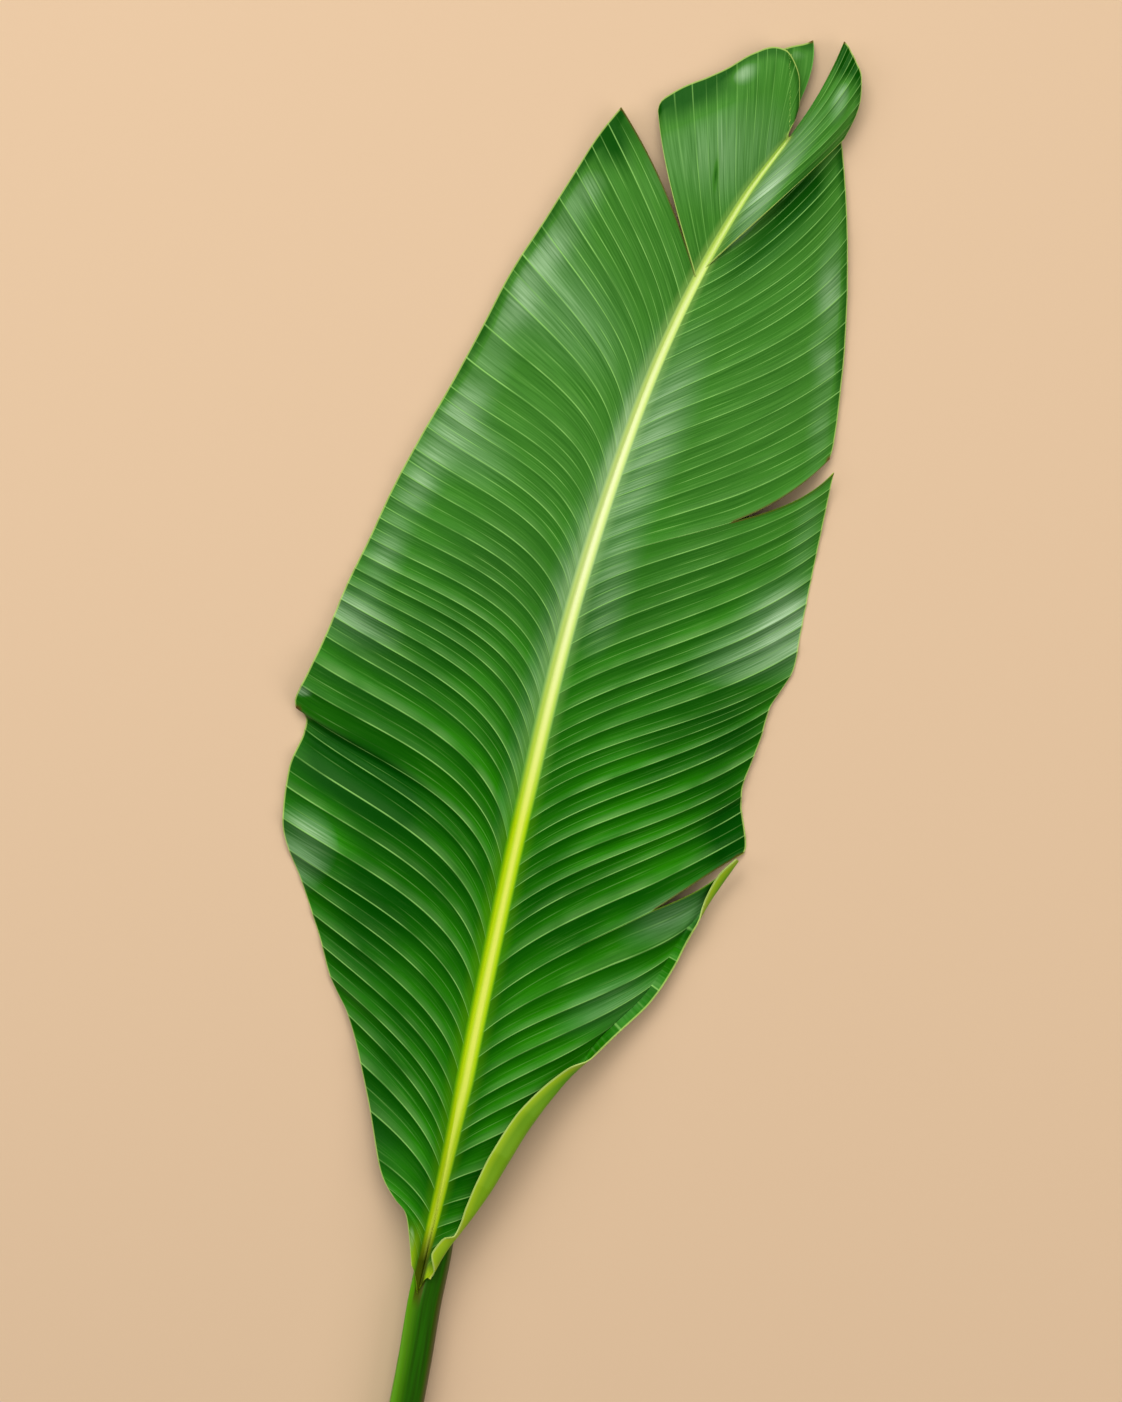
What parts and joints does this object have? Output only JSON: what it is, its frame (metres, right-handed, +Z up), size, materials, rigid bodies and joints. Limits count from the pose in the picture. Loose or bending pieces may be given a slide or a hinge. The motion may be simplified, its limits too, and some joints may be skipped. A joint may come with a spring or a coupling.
{
  "type": "white bird of paradise leaf",
  "caption": "Large pleated oblong leaf with a raised midrib and a cut length of channelled stalk, torn into lobes at its margin, lying face up.",
  "frame": {"origin": "middle of the leaf's outline seen from above, at the height of the surface it lies on", "axes": "+Y from the cut end of the stalk to the leaf's tip, +Z up out of the upper face, +X to the right half of the blade"},
  "size_m": [0.2362, 0.9284, 0.0253],
  "materials": {
    "leaf": "living leaf: deep green with a satin, waxy surface"
  },
  "bodies": {
    "root": {"leaf": "leaf"}
  },
  "joints": []
}
